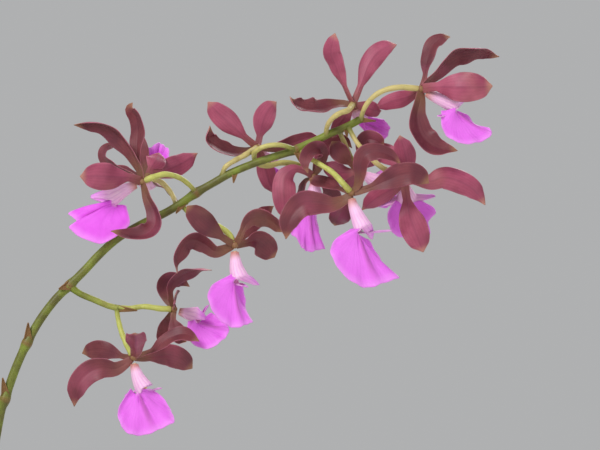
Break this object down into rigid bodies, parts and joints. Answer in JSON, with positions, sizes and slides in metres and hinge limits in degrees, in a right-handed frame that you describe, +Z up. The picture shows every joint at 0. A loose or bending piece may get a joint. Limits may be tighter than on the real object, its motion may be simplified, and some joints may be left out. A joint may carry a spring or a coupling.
{
  "type": "potted orchid",
  "caption": "Cockleshell orchid in flower in a clay pot, with an arching spray of maroon blooms with magenta lips, strap leaves and pseudobulbs in bark.",
  "frame": {"origin": "centre of the pot's base", "axes": "+Z up, +X the way the spray arches, -Y the side the blooms are seen from"},
  "size_m": [0.4256, 0.3952, 0.4319],
  "materials": {
    "clay": "matt",
    "bark": "rough",
    "root": "matt",
    "bulb": "satin",
    "leaf": "satin",
    "stalk": "satin",
    "tepal": "satin",
    "column": "satin",
    "lip": "matt"
  },
  "bodies": {
    "root": {"pot": "clay", "bark_bed": "bark", "rhizome_with_roots": "root", "pseudobulb_1": "bulb", "pseudobulb_2": "bulb", "pseudobulb_3": "bulb", "pseudobulb_4": "bulb", "pseudobulb_5": "bulb", "leaf_01": "leaf", "leaf_02": "leaf", "leaf_03": "leaf", "leaf_04": "leaf", "leaf_05": "leaf", "leaf_06": "leaf", "leaf_07": "leaf", "leaf_08": "leaf", "leaf_09": "leaf", "leaf_10": "leaf", "flower_stalk": "stalk", "bloom_01_tepals": "tepal", "bloom_01_column": "column", "bloom_01_lip": "lip", "bloom_02_tepals": "tepal", "bloom_02_column": "column", "bloom_02_lip": "lip", "bloom_03_tepals": "tepal", "bloom_03_column": "column", "bloom_03_lip": "lip", "bloom_04_tepals": "tepal", "bloom_04_column": "column", "bloom_04_lip": "lip", "bloom_05_tepals": "tepal", "bloom_05_column": "column", "bloom_05_lip": "lip", "bloom_06_tepals": "tepal", "bloom_06_column": "column", "bloom_06_lip": "lip", "bloom_07_tepals": "tepal", "bloom_07_column": "column", "bloom_07_lip": "lip", "bloom_08_tepals": "tepal", "bloom_08_column": "column", "bloom_08_lip": "lip", "bloom_09_tepals": "tepal", "bloom_09_column": "column", "bloom_09_lip": "lip", "bloom_10_tepals": "tepal", "bloom_10_column": "column", "bloom_10_lip": "lip", "bloom_11_tepals": "tepal", "bloom_11_column": "column", "bloom_11_lip": "lip", "bloom_12_tepals": "tepal", "bloom_12_column": "column", "bloom_12_lip": "lip"}
  },
  "joints": []
}
